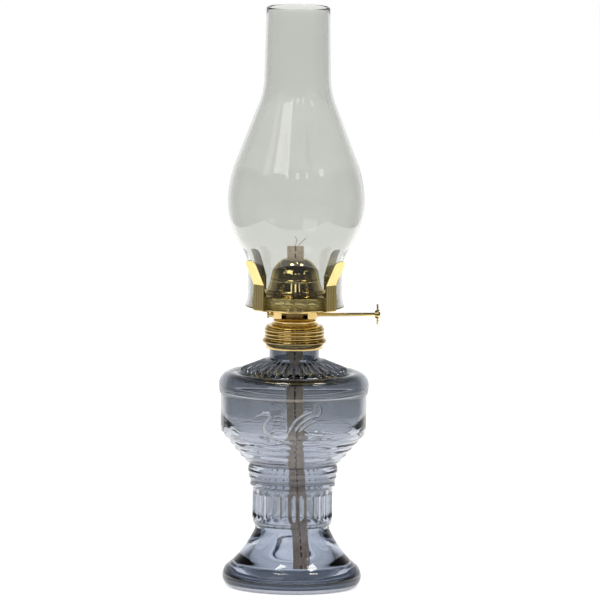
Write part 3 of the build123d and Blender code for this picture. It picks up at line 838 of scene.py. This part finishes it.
outline = trace(
    [(0, collar_top), (skirt_radius - sheet, collar_top)],
    ((skirt_radius - sheet, skirt_bottom), 0.25 * mm),
    ((skirt_radius, skirt_bottom), 1 * mm),
    ((skirt_radius, collar_top), 0.25 * mm),
    ((seat_radius, collar_top), 1 * mm),
    ((seat_radius, seat_top), 0.2 * mm, ("leave", (0.8, 0.6))),
    ((burner_neck_radius, seat_top + sheet / 2), 0.4 * mm),
    ((burner_neck_radius, cup_bottom), 1 * mm),
    ((cup_radius, cup_top), 0.3 * mm, ("arrive", (0, 1))),
    ((cup_radius - sheet, cup_top), 1 * mm),
    ((burner_neck_radius - sheet, cup_bottom), 0.4 * mm, ("leave", (0, -1))),
    ((burner_neck_radius - sheet, floor_top), 1 * mm),
    ((0, floor_top), 4 * mm),
    ((0, collar_top), 1 * mm),
)
base = spin_outline("burner_cup", outline, brass_segments)


def rolled_thread(angle, radius, height):
    """The coarse thread rolled into the skirt under the seat."""
    pitch = (collar_top - skirt_bottom) / thread_turns
    wave = np.cos(2 * math.pi * (height / pitch - angle / (2 * math.pi))) - 1
    on_skirt = inside_band(height, skirt_bottom, collar_top - 0.4 * mm, 0.6 * mm)
    return 0.5 * thread_deep * wave * on_skirt * (radius > skirt_radius - 0.3 * sheet)


press_relief(base, rolled_thread)
bpy.ops.object.select_all(action="DESELECT")
bpy.ops.mesh.primitive_cube_add(
    size=1,
    location=(0, -cup_radius, (window_low + window_high) / 2),
    scale=(window_width, cup_radius, window_high - window_low),
)
window_block = bpy.context.object
bpy.ops.object.transform_apply(location=True, rotation=True, scale=True)
cut_away(base, window_block)
cut_away(base, flat_oval_block(wick_slot_half, wick_slot_deep, collar_top - 2 * mm, floor_top + 2 * mm))
bpy.ops.object.shade_smooth_by_angle(angle=math.radians(40))
base.data.materials.append(gilt_brass)
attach(base, "burner")
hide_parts("burner_base")

# Inner burner: the flat wick tube, the folded housing round the wheels, the pierced air screen and
# the rivets of the prongs, all plain brass sheet, soldered or riveted to the base and the gallery.
inner_brass = polished_brass("inner_brass", (0.74, 0.50, 0.20), (0.58, 0.36, 0.12), 0.28, metallic=0.7)
for name in ("wick_tube", "raiser_housing", "air_screen", "prong_rivets"):
    dress_node(name, inner_brass)

# Gallery: the brass seat plate of the chimney with its upright ring, stamped all round with a
# running wave. It is fixed on the rim of the cup.
gallery_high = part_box("gallery_ring")[1]
gallery_radius = gallery_high[0]
ring_top = gallery_high[2]
gallery_top = cup_top + 0.5 * mm
gallery_bore = 10.4 * mm
ring_radius = 23.5 * mm
ring_bulge = 0.5 * mm
ring_inner = ring_radius - ring_bulge - sheet
ring_middle = (gallery_top + ring_top) / 2
wave_count = 12
wave_proud = 0.38 * mm
wave_height = 0.42
wave_thickness = 0.22
bead_share = 0.86
bead_thickness = 0.12
gallery_segments = 288

outline = trace(
    [(gallery_bore, cup_top)],
    ((gallery_radius - 0.2 * mm, cup_top), 2 * mm),
    ((gallery_radius - 0.2 * mm, gallery_top), 0.15 * mm, ("leave", (0.5, 1))),
    ((ring_radius - ring_bulge, gallery_top), 1 * mm),
    ((ring_radius, ring_middle), 0.22 * mm, ("arrive", (0, 1))),
    ((ring_radius - ring_bulge, ring_top), 0.22 * mm, ("leave", (0, 1))),
    ((ring_inner, ring_top), 1 * mm),
    ((ring_inner, gallery_top), 1.2 * mm, ("leave", (0.3, -1))),
    ((gallery_bore, gallery_top), 2 * mm),
    ((gallery_bore, cup_top), 1 * mm),
)
gallery = spin_outline("gallery_seat", outline, gallery_segments)


def running_wave(angle, radius, height):
    """Two interlaced waves stamped out of the ring, with a plain bead above and below."""
    level = (height - ring_middle) / (0.5 * (ring_top - gallery_top))
    lift = np.zeros_like(height)
    for shift in (0, math.pi):
        crest = wave_height * np.sin(wave_count * angle + shift)
        lift = np.maximum(lift, np.exp(-(((level - crest) / wave_thickness) ** 2)))
    for bead in (-bead_share, bead_share):
        lift = np.maximum(lift, 0.7 * np.exp(-(((level - bead) / bead_thickness) ** 2)))
    outer = (radius > ring_radius - ring_bulge - 0.3 * sheet) * (radius < ring_radius + 0.2 * mm)
    return wave_proud * lift * outer * (np.abs(level) < 0.999)


press_relief(gallery, running_wave)
bpy.ops.object.shade_smooth_by_angle(angle=math.radians(50))
stamped_brass = polished_brass("stamped_brass", (0.90, 0.76, 0.36), (0.84, 0.68, 0.28), 0.10, metallic=0.6)
gallery.data.materials.append(stamped_brass)
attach(gallery, "burner")
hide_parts("gallery_ring")

# Deflector dome: spun from thin brass and polished bright. Its flange lies on the gallery ring, a
# bead runs round its shoulder, and the flame stands in the slot over the wick.
dome_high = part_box("deflector_dome")[1]
dome_top = dome_high[2]
dome_rim = dome_high[0]
dome_sheet = 0.6 * mm
flange_top = ring_top + dome_sheet
dome_lip_radius = 16.6 * mm
dome_lip_level = flange_top + 1.4 * mm
dome_foot_level = dome_lip_level + 1.2 * mm
dome_foot_radius = 14.9 * mm
dome_level = dome_foot_level + 5.5 * mm
dome_radius = 13.1 * mm
dome_bead = 0.45 * mm
dome_bead_half = 0.75 * mm
flame_slot_half = 6.0 * mm
flame_slot_deep = 1.9 * mm
dome_flat_radius = math.sqrt(dome_radius**2 - (dome_top - dome_level) ** 2)
bead_low = (dome_radius + 0.35 * mm, dome_level - dome_bead_half)
bead_high = (dome_radius, dome_level + dome_bead_half)
bead_crest = (dome_radius + dome_bead, dome_level)

outline = trace(
    [(0, dome_top - dome_sheet)],
    ((dome_flat_radius, dome_top - dome_sheet), 2 * mm),
    ((dome_radius - dome_sheet, dome_level), 1 * mm, ("arrive", (0, -1))),
    ((dome_foot_radius - dome_sheet, dome_foot_level), 1.5 * mm),
    ((dome_lip_radius - dome_sheet, dome_foot_level - dome_sheet), 1 * mm),
    ((dome_lip_radius - dome_sheet, dome_lip_level - dome_sheet), 1 * mm),
    ((dome_rim - 1.4 * mm, ring_top), 2 * mm),
    ((dome_rim - 0.3 * mm, ring_top), 1 * mm),
    ((dome_rim - 0.3 * mm, flange_top), 0.12 * mm, ("leave", (1, 0))),
    ((dome_rim - 1.4 * mm, flange_top), 1 * mm),
    ((dome_lip_radius, dome_lip_level - 0.2 * mm), 0.5 * mm, ("leave", (-1, 0.1))),
    ((dome_lip_radius - 0.3 * mm, dome_foot_level), 0.2 * mm, ("leave", (0.5, 1))),
    ((dome_foot_radius, dome_foot_level), 1 * mm),
    (bead_low, 0.35 * mm),
    (bead_crest, 0.15 * mm, ("arrive", (0, 1))),
    (bead_high, 0.15 * mm, ("leave", (0, 1))),
    ((dome_flat_radius, dome_top), 0.35 * mm, ("leave", (0, 1))),
    ((0, dome_top), 2 * mm),
)
dome = spin_outline("flame_dome", outline, brass_segments)
cut_away(dome, flat_oval_block(flame_slot_half, flame_slot_deep, dome_top - 4 * mm, dome_top + 2 * mm))
bpy.ops.object.shade_smooth_by_angle(angle=math.radians(40))
dome.data.materials.append(bright_brass)
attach(dome, "burner")
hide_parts("deflector_dome")

# Prongs: four sprung strips of brass, riveted under the gallery by their feet. Each has a ribbed
# upright beside the foot of the chimney and a leaf that leans out, so that the glass slips in.
prong_angles = {
    "prong_back_right": 45,
    "prong_back_left": 135,
    "prong_front_left": 225,
    "prong_front_right": 315,
}
prong_sheet = 0.5 * mm
prong_half_width = 3.9 * mm
prong_middle = 27.95 * mm
prong_foot = 19.0 * mm
prong_fold = 0.3 * mm
prong_bend = 0.6 * mm
prong_tip_round = 2.8 * mm
foot_level = cup_top - prong_sheet / 2
knee_level = cup_top + 14.3 * mm
leaf_out = 7.4 * mm
leaf_up = 13.7 * mm
leaf_length = math.hypot(leaf_out, leaf_up)
leaf_lean = Vector((leaf_out, leaf_up)).normalized()
rib_offsets = (-2.7 * mm, -0.9 * mm, 0.9 * mm, 2.7 * mm)
prong_rib = 0.4 * mm
prong_rib_half = 0.62 * mm
rib_end = knee_level + 4 * mm

knee = Vector((prong_middle, knee_level))
knee_end = knee + leaf_lean * prong_bend
leaf_tip = knee + leaf_lean * leaf_length
strip = trace(
    [(prong_foot, foot_level)],
    ((prong_middle - prong_fold, foot_level), 0.5 * mm),
    ((prong_middle, foot_level + prong_fold), 0.15 * mm, ("leave", (1, 0))),
    ((prong_middle, knee_level - prong_bend), 0.3 * mm),
    (tuple(knee_end), 0.2 * mm, ("leave", (0, 1))),
    (tuple(leaf_tip), 0.3 * mm),
)


def face_outwards():
    """Turn all the faces of the piece in hand outwards."""
    bpy.ops.object.mode_set(mode="EDIT")
    bpy.ops.mesh.select_all(action="SELECT")
    bpy.ops.mesh.normals_make_consistent(inside=False)
    bpy.ops.object.mode_set(mode="OBJECT")


bpy.ops.object.select_all(action="DESELECT")
bpy.ops.mesh.primitive_grid_add(x_subdivisions=64, y_subdivisions=len(strip) - 1, size=2)
first_prong = bpy.context.object
for corner in first_prong.data.vertices:
    step = round((corner.co.y + 1) / 2 * (len(strip) - 1))
    out, up = strip[step]
    to_tip = (leaf_tip - Vector((out, up))).length if up > knee_level else leaf_length
    rounding = max(0.0, prong_tip_round - to_tip)
    half_width = prong_half_width - prong_tip_round + math.sqrt(prong_tip_round**2 - rounding**2)
    across = corner.co.x * half_width
    ribbed = float(ramp_up(up, cup_top - 0.6 * mm, cup_top) * (1 - ramp_up(up, rib_end, leaf_tip.y)))
    off_rib = min(1.0, min(abs(across - line) for line in rib_offsets) / prong_rib_half)
    proud = prong_rib * (1 - off_rib**2) * ribbed
    face = Vector((1, 0)) if up < knee_level else Vector((leaf_lean.y, -leaf_lean.x))
    corner.co = (out + proud * face.x, across, up + proud * face.y)
wall = first_prong.modifiers.new("sheet", "SOLIDIFY")
wall.thickness = prong_sheet
wall.offset = 0.0
bpy.ops.object.modifier_apply(modifier=wall.name)
soft_edge = first_prong.modifiers.new("edges", "BEVEL")
soft_edge.width = 0.12 * mm
soft_edge.segments = 2
soft_edge.angle_limit = math.radians(50)
bpy.ops.object.modifier_apply(modifier=soft_edge.name)
face_outwards()
bpy.ops.object.shade_smooth_by_angle(angle=math.radians(45))
first_prong.data.materials.append(bright_brass)
for name, turn in prong_angles.items():
    prong = bpy.data.objects.new(name + "_spring", first_prong.data.copy())
    bpy.context.collection.objects.link(prong)
    prong.data.transform(Matrix.Rotation(math.radians(turn), 4, "Z"))
    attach(prong, "burner")
    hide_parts(name)
bpy.data.objects.remove(first_prong, do_unlink=True)

# Wick raiser: the brass shaft with its two toothed wheels, which feed the wick, and the stamped knob
# pressed on its end. The shaft turns in holes in the cup.
shaft_tilt = math.radians(1.0)
shaft_set_back = 4.3 * mm
shaft_level = collar_top + 5.9 * mm
knob_reach = 45.5 * mm
knob_radius = 5.8 * mm
knob_thickness = 1.2 * mm
knob_boss_radius = 2.2 * mm
knob_boss_length = 3.0 * mm
knob_scallops = 20
knob_scallop_deep = 0.35 * mm
knob_rays_proud = 0.22 * mm
knob_segments = 240
shaft_radius = 1.0 * mm
for name in ("wick_shaft", "wick_sprocket_left", "wick_sprocket_right"):
    dress_node(name, bright_brass)

half_disc = knob_thickness / 2
half_boss = knob_boss_length / 2
outline = trace(
    [(shaft_radius, -half_boss), (knob_boss_radius - 0.3 * mm, -half_boss)],
    ((knob_boss_radius, -half_boss + 0.3 * mm), 0.1 * mm, ("leave", (1, 0))),
    ((knob_boss_radius + 0.3 * mm, -half_disc + 0.3 * mm), 0.4 * mm),
    ((knob_radius - 1.0 * mm, -half_disc + 0.3 * mm), 0.3 * mm),
    ((knob_radius - 0.6 * mm, -half_disc), 0.2 * mm),
    ((knob_radius - 0.6 * mm, half_disc), 0.12 * mm, ("leave", (1, 0))),
    ((knob_radius - 1.0 * mm, half_disc - 0.3 * mm), 0.2 * mm),
    ((knob_boss_radius + 0.3 * mm, half_disc - 0.3 * mm), 0.3 * mm),
    ((knob_boss_radius, half_boss - 0.3 * mm), 0.4 * mm),
    ((knob_boss_radius - 0.3 * mm, half_boss), 0.1 * mm, ("leave", (0, 1))),
    ((shaft_radius, half_boss), 0.5 * mm),
    ((shaft_radius, -half_boss), 1.0 * mm),
)
knob = spin_outline("knob_disc", outline, knob_segments)


def stamped_rays(angle, radius, height):
    """Scallops round the knob's edge and low rays on its two faces."""
    wave = np.cos(knob_scallops * angle)
    edge = ramp_up(radius, knob_radius - 0.9 * mm, knob_radius - 0.2 * mm)
    face = inside_band(radius, knob_boss_radius + 0.4 * mm, knob_radius - 1.1 * mm, 0.5 * mm)
    return 0.5 * knob_scallop_deep * (wave - 1) * edge + knob_rays_proud * np.abs(wave) * face


press_relief(knob, stamped_rays)
shaft_place = Matrix.Translation((0, -shaft_set_back, shaft_level))
shaft_turn = Matrix.Rotation(math.pi / 2 - shaft_tilt, 4, "Y")
knob.data.transform(shaft_place @ shaft_turn @ Matrix.Translation((0, 0, knob_reach)))
bpy.ops.object.shade_smooth_by_angle(angle=math.radians(40))
knob.data.materials.append(bright_brass)
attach(knob, "knob")
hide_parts("wick_knob")

# Wick: a flat strip of woven cotton with a coloured thread stitched along its middle. The tube and
# the wheels hold it in the burner, and its tail hangs down through the oil into the foot.
wick_width = 9.3 * mm
wick_thickness = 2.0 * mm
wick_route = ((0, 0, 188.8), (0, 0, 123.8), (2.0, 0, 57.0), (5.4, 0, 14.0))
warp_threads = 9
warp_proud = 0.16 * mm
weft_pitch = 1.5 * mm
weft_under_share = 0.35
selvedge_share = 0.14
selvedge_thin = 0.55

route = bpy.data.curves.new("wick_route", "CURVE")
route.dimensions = "3D"
line = route.splines.new("NURBS")
line.points.add(len(wick_route) - 1)
for point, (x, y, z) in zip(line.points, wick_route):
    point.co = (x * mm, y * mm, z * mm, 1)
line.order_u = 3
line.use_endpoint_u = True
line.resolution_u = 90
route_object = bpy.data.objects.new("wick_route", route)
bpy.context.collection.objects.link(route_object)
bpy.context.view_layer.update()
drawn_route = route_object.evaluated_get(bpy.context.evaluated_depsgraph_get())
route_mesh = bpy.data.meshes.new_from_object(drawn_route)
path = [Vector(corner.co) for corner in route_mesh.vertices]
bpy.data.objects.remove(route_object, do_unlink=True)
bpy.data.meshes.remove(route_mesh)

bpy.ops.object.select_all(action="DESELECT")
bpy.ops.mesh.primitive_grid_add(x_subdivisions=54, y_subdivisions=len(path) - 1, size=2)
wick = bpy.context.object
wick.name = "wick_cloth"
for corner in wick.data.vertices:
    step = round((corner.co.y + 1) / 2 * (len(path) - 1))
    corner.co = path[step] + Vector((corner.co.x * (wick_width / 2 - 0.1 * mm), 0, 0))
cloth = wick.modifiers.new("cloth", "SOLIDIFY")
cloth.thickness = wick_thickness - 2 * warp_proud - 0.1 * mm
cloth.offset = 0.0
bpy.ops.object.modifier_apply(modifier=cloth.name)
route_z = [point.z for point in reversed(path)]
route_x = [point.x for point in reversed(path)]
for corner in wick.data.vertices:
    across = (corner.co.x - np.interp(corner.co.z, route_z, route_x)) / (wick_width / 2)
    thread = abs(math.sin(math.pi * warp_threads * (across + 1) / 2))
    row = math.floor(warp_threads * (across + 1) / 2)
    over = 0.5 + 0.5 * math.cos(2 * math.pi * corner.co.z / weft_pitch + math.pi * (row % 2))
    edge = 1 - selvedge_thin * max(0.0, (abs(across) - 1) / selvedge_share + 1) ** 2
    side = math.copysign(1.0, corner.co.y)
    proud = warp_proud * thread * (weft_under_share + (1 - weft_under_share) * over)
    corner.co.y = side * (abs(corner.co.y) + proud) * edge
face_outwards()
bpy.ops.object.shade_smooth_by_angle(angle=math.radians(60))

fibre_tints = ((0.3, (0.70, 0.59, 0.48, 1)), (0.7, (0.98, 0.90, 0.79, 1)))
# Along the wick: darker below about 50 mm, lighter from about 85 to 130 mm as painted light on the part
# inside the font's bowl, and darker again from about 150 mm up.
wick_painted_light_tints = (
    (0.28, (0.72, 0.62, 0.55, 1)),
    (0.47, (1.0, 0.93, 0.82, 1)),
    (0.72, (1.0, 0.93, 0.82, 1)),
    (0.84, (0.71, 0.64, 0.54, 1)),
)
wick_tint_height = 180 * mm
thread_tint = (0.085, 0.035, 0.028, 1)
thread_half_share = 0.045
stitch_count = 62
stitch_share = 0.66

cotton, tree, weave = new_finish("wick_cotton")
weave["Roughness"].default_value = 0.92
weave["Sheen Weight"].default_value = 0.15
spread = split_place(tree, tree.nodes.new("ShaderNodeUVMap").outputs["UV"])
near_middle = maths(tree, "COMPARE", maths(tree, "SUBTRACT", spread["X"], 0.5), 0, thread_half_share)
along = maths(tree, "FRACT", maths(tree, "MULTIPLY", spread["Y"], stitch_count))
stitched = maths(tree, "MULTIPLY", near_middle, maths(tree, "LESS_THAN", along, stitch_share))
fibre = tints(tree, clouds(tree, 700, 5), fibre_tints)["Color"]
wick_height_share = stretch(tree, split_place(tree, object_place(tree))["Z"], (0, wick_tint_height))
wick_painted_light = vectors(tree, "MULTIPLY", fibre, tints(tree, wick_height_share, wick_painted_light_tints)["Color"])
tree.links.new(blend(tree, stitched, wick_painted_light, thread_tint), weave["Base Color"])
wick.data.materials.append(cotton)
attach(wick, "wick")
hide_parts("wick")

# Frayed threads: two loose ends of cotton that have worked out of the wick's cut top and curl up from
# it. They are thin cords drawn along a bent line, and rise and fall with the wick.
fray_radius = 0.2 * mm
fray_lines = (
    ((1.4, -0.3, 188.2), (2.2, -0.4, 190.6), (3.9, -0.5, 191.0), (4.3, -0.4, 192.4), (5.6, -0.3, 193.2)),
    ((0.3, 0.2, 188.2), (-0.5, 0.2, 190.0), (0.9, 0.3, 191.6), (1.0, 0.3, 193.0), (-0.6, 0.4, 193.9)),
)
frays = []
for fray_line in fray_lines:
    bpy.ops.object.select_all(action="DESELECT")
    bpy.ops.curve.primitive_nurbs_path_add()
    strand = bpy.context.object
    for point, (x, y, z) in zip(strand.data.splines[0].points, fray_line):
        point.co = (x * mm, y * mm, z * mm, 1)
    strand.data.resolution_u = 8
    strand.data.bevel_depth = fray_radius
    strand.data.bevel_resolution = 2
    strand.data.use_fill_caps = True
    bpy.ops.object.convert(target="MESH")
    frays.append(bpy.context.object)
for strand in frays:
    strand.select_set(True)
bpy.ops.object.join()
fray = bpy.context.object
fray.name = "wick_frayed_threads"
bpy.ops.object.shade_smooth()
fray.data.materials.clear()
fray.data.materials.append(cotton)
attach(fray, "wick")

# Chimney: thin clear glass, blown to a bulb over the flame and drawn in to a flue with a
# fire-polished rim. It stands on the gallery between the prongs and lifts off upwards.
chimney_low, chimney_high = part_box("chimney")
seat = chimney_low[2]
rim_level = chimney_high[2]
bulb_radius = chimney_high[0]
glass_wall = 1.6 * mm
chimney_foot_radius = 27.3 * mm
fitter_radius = 25.9 * mm
fitter_bottom = seat + 7.7 * mm
fitter_top = seat + 20.2 * mm
bulb_level = seat + 57.7 * mm
swell_share = 0.32
draw_in_rise = 11.2 * mm
draw_in_length = 50.1 * mm
flue_ease = 8.6 * mm
flue_radius = 18.2 * mm
rim_radius = 17.5 * mm
rim_side = rim_level - glass_wall / 2
chimney_segments = 192
chimney_gap = 1.6 * mm


def chimney_face(inset, gap):
    """One face of the chimney's wall from the foot to the rim, set in by inset."""
    fitter_head = (fitter_radius - inset, fitter_top)
    bulb = (bulb_radius - inset, bulb_level)
    swell = tuple(Vector(fitter_head).lerp(Vector(bulb), swell_share))
    corner_low = Vector((bulb_radius - inset, bulb_level + draw_in_rise))
    corner_high = corner_low + Vector((flue_radius - bulb_radius, draw_in_length))
    slope = (corner_high - corner_low).normalized()
    shoulder = tuple(corner_low + slope * draw_in_rise)
    throat = tuple(corner_high - slope * flue_ease)
    flue = tuple(corner_high + Vector((0, flue_ease)))
    return trace(
        [(chimney_foot_radius - inset, seat)],
        ((fitter_radius - inset, fitter_bottom), gap, ("arrive", (0, 1))),
        (fitter_head, 2 * gap),
        (swell, gap, ("leave", (0, 1))),
        (bulb, gap, ("arrive", (0, 1))),
        (shoulder, gap, ("leave", (0, 1))),
        (throat, gap),
        (flue, gap, ("arrive", (0, 1))),
        ((rim_radius - inset, rim_side), 3 * gap),
    )


outline = chimney_face(0, chimney_gap)
trace(outline, ((rim_radius - glass_wall, rim_side), 0.25 * mm, ("leave", (0, 1))))
outline += chimney_face(glass_wall, chimney_gap)[-2::-1]
trace(outline, (outline[0], 0.8 * mm))
chimney = spin_outline("chimney_glass", outline, chimney_segments)
bpy.ops.object.shade_smooth_by_angle(angle=math.radians(50))

clear_glass, tree, glass = new_finish("clear_glass")
glass["Transmission Weight"].default_value = 1.0
glass["IOR"].default_value = 1.47
glass["Roughness"].default_value = 0.0
streaks = clouds(tree, 22)
pale = tints(tree, streaks, ((0, (0.74, 0.75, 0.725, 1)), (1, (0.80, 0.81, 0.785, 1))))
tree.links.new(pale["Color"], glass["Base Color"])
waver = tree.nodes.new("ShaderNodeBump")
waver.inputs["Strength"].default_value = 0.25
waver.inputs["Distance"].default_value = 0.4 * mm
tree.links.new(streaks, waver.inputs["Height"])
tree.links.new(waver.outputs["Normal"], glass["Normal"])
chimney.data.materials.append(clear_glass)
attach(chimney, "chimney")
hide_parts("chimney")
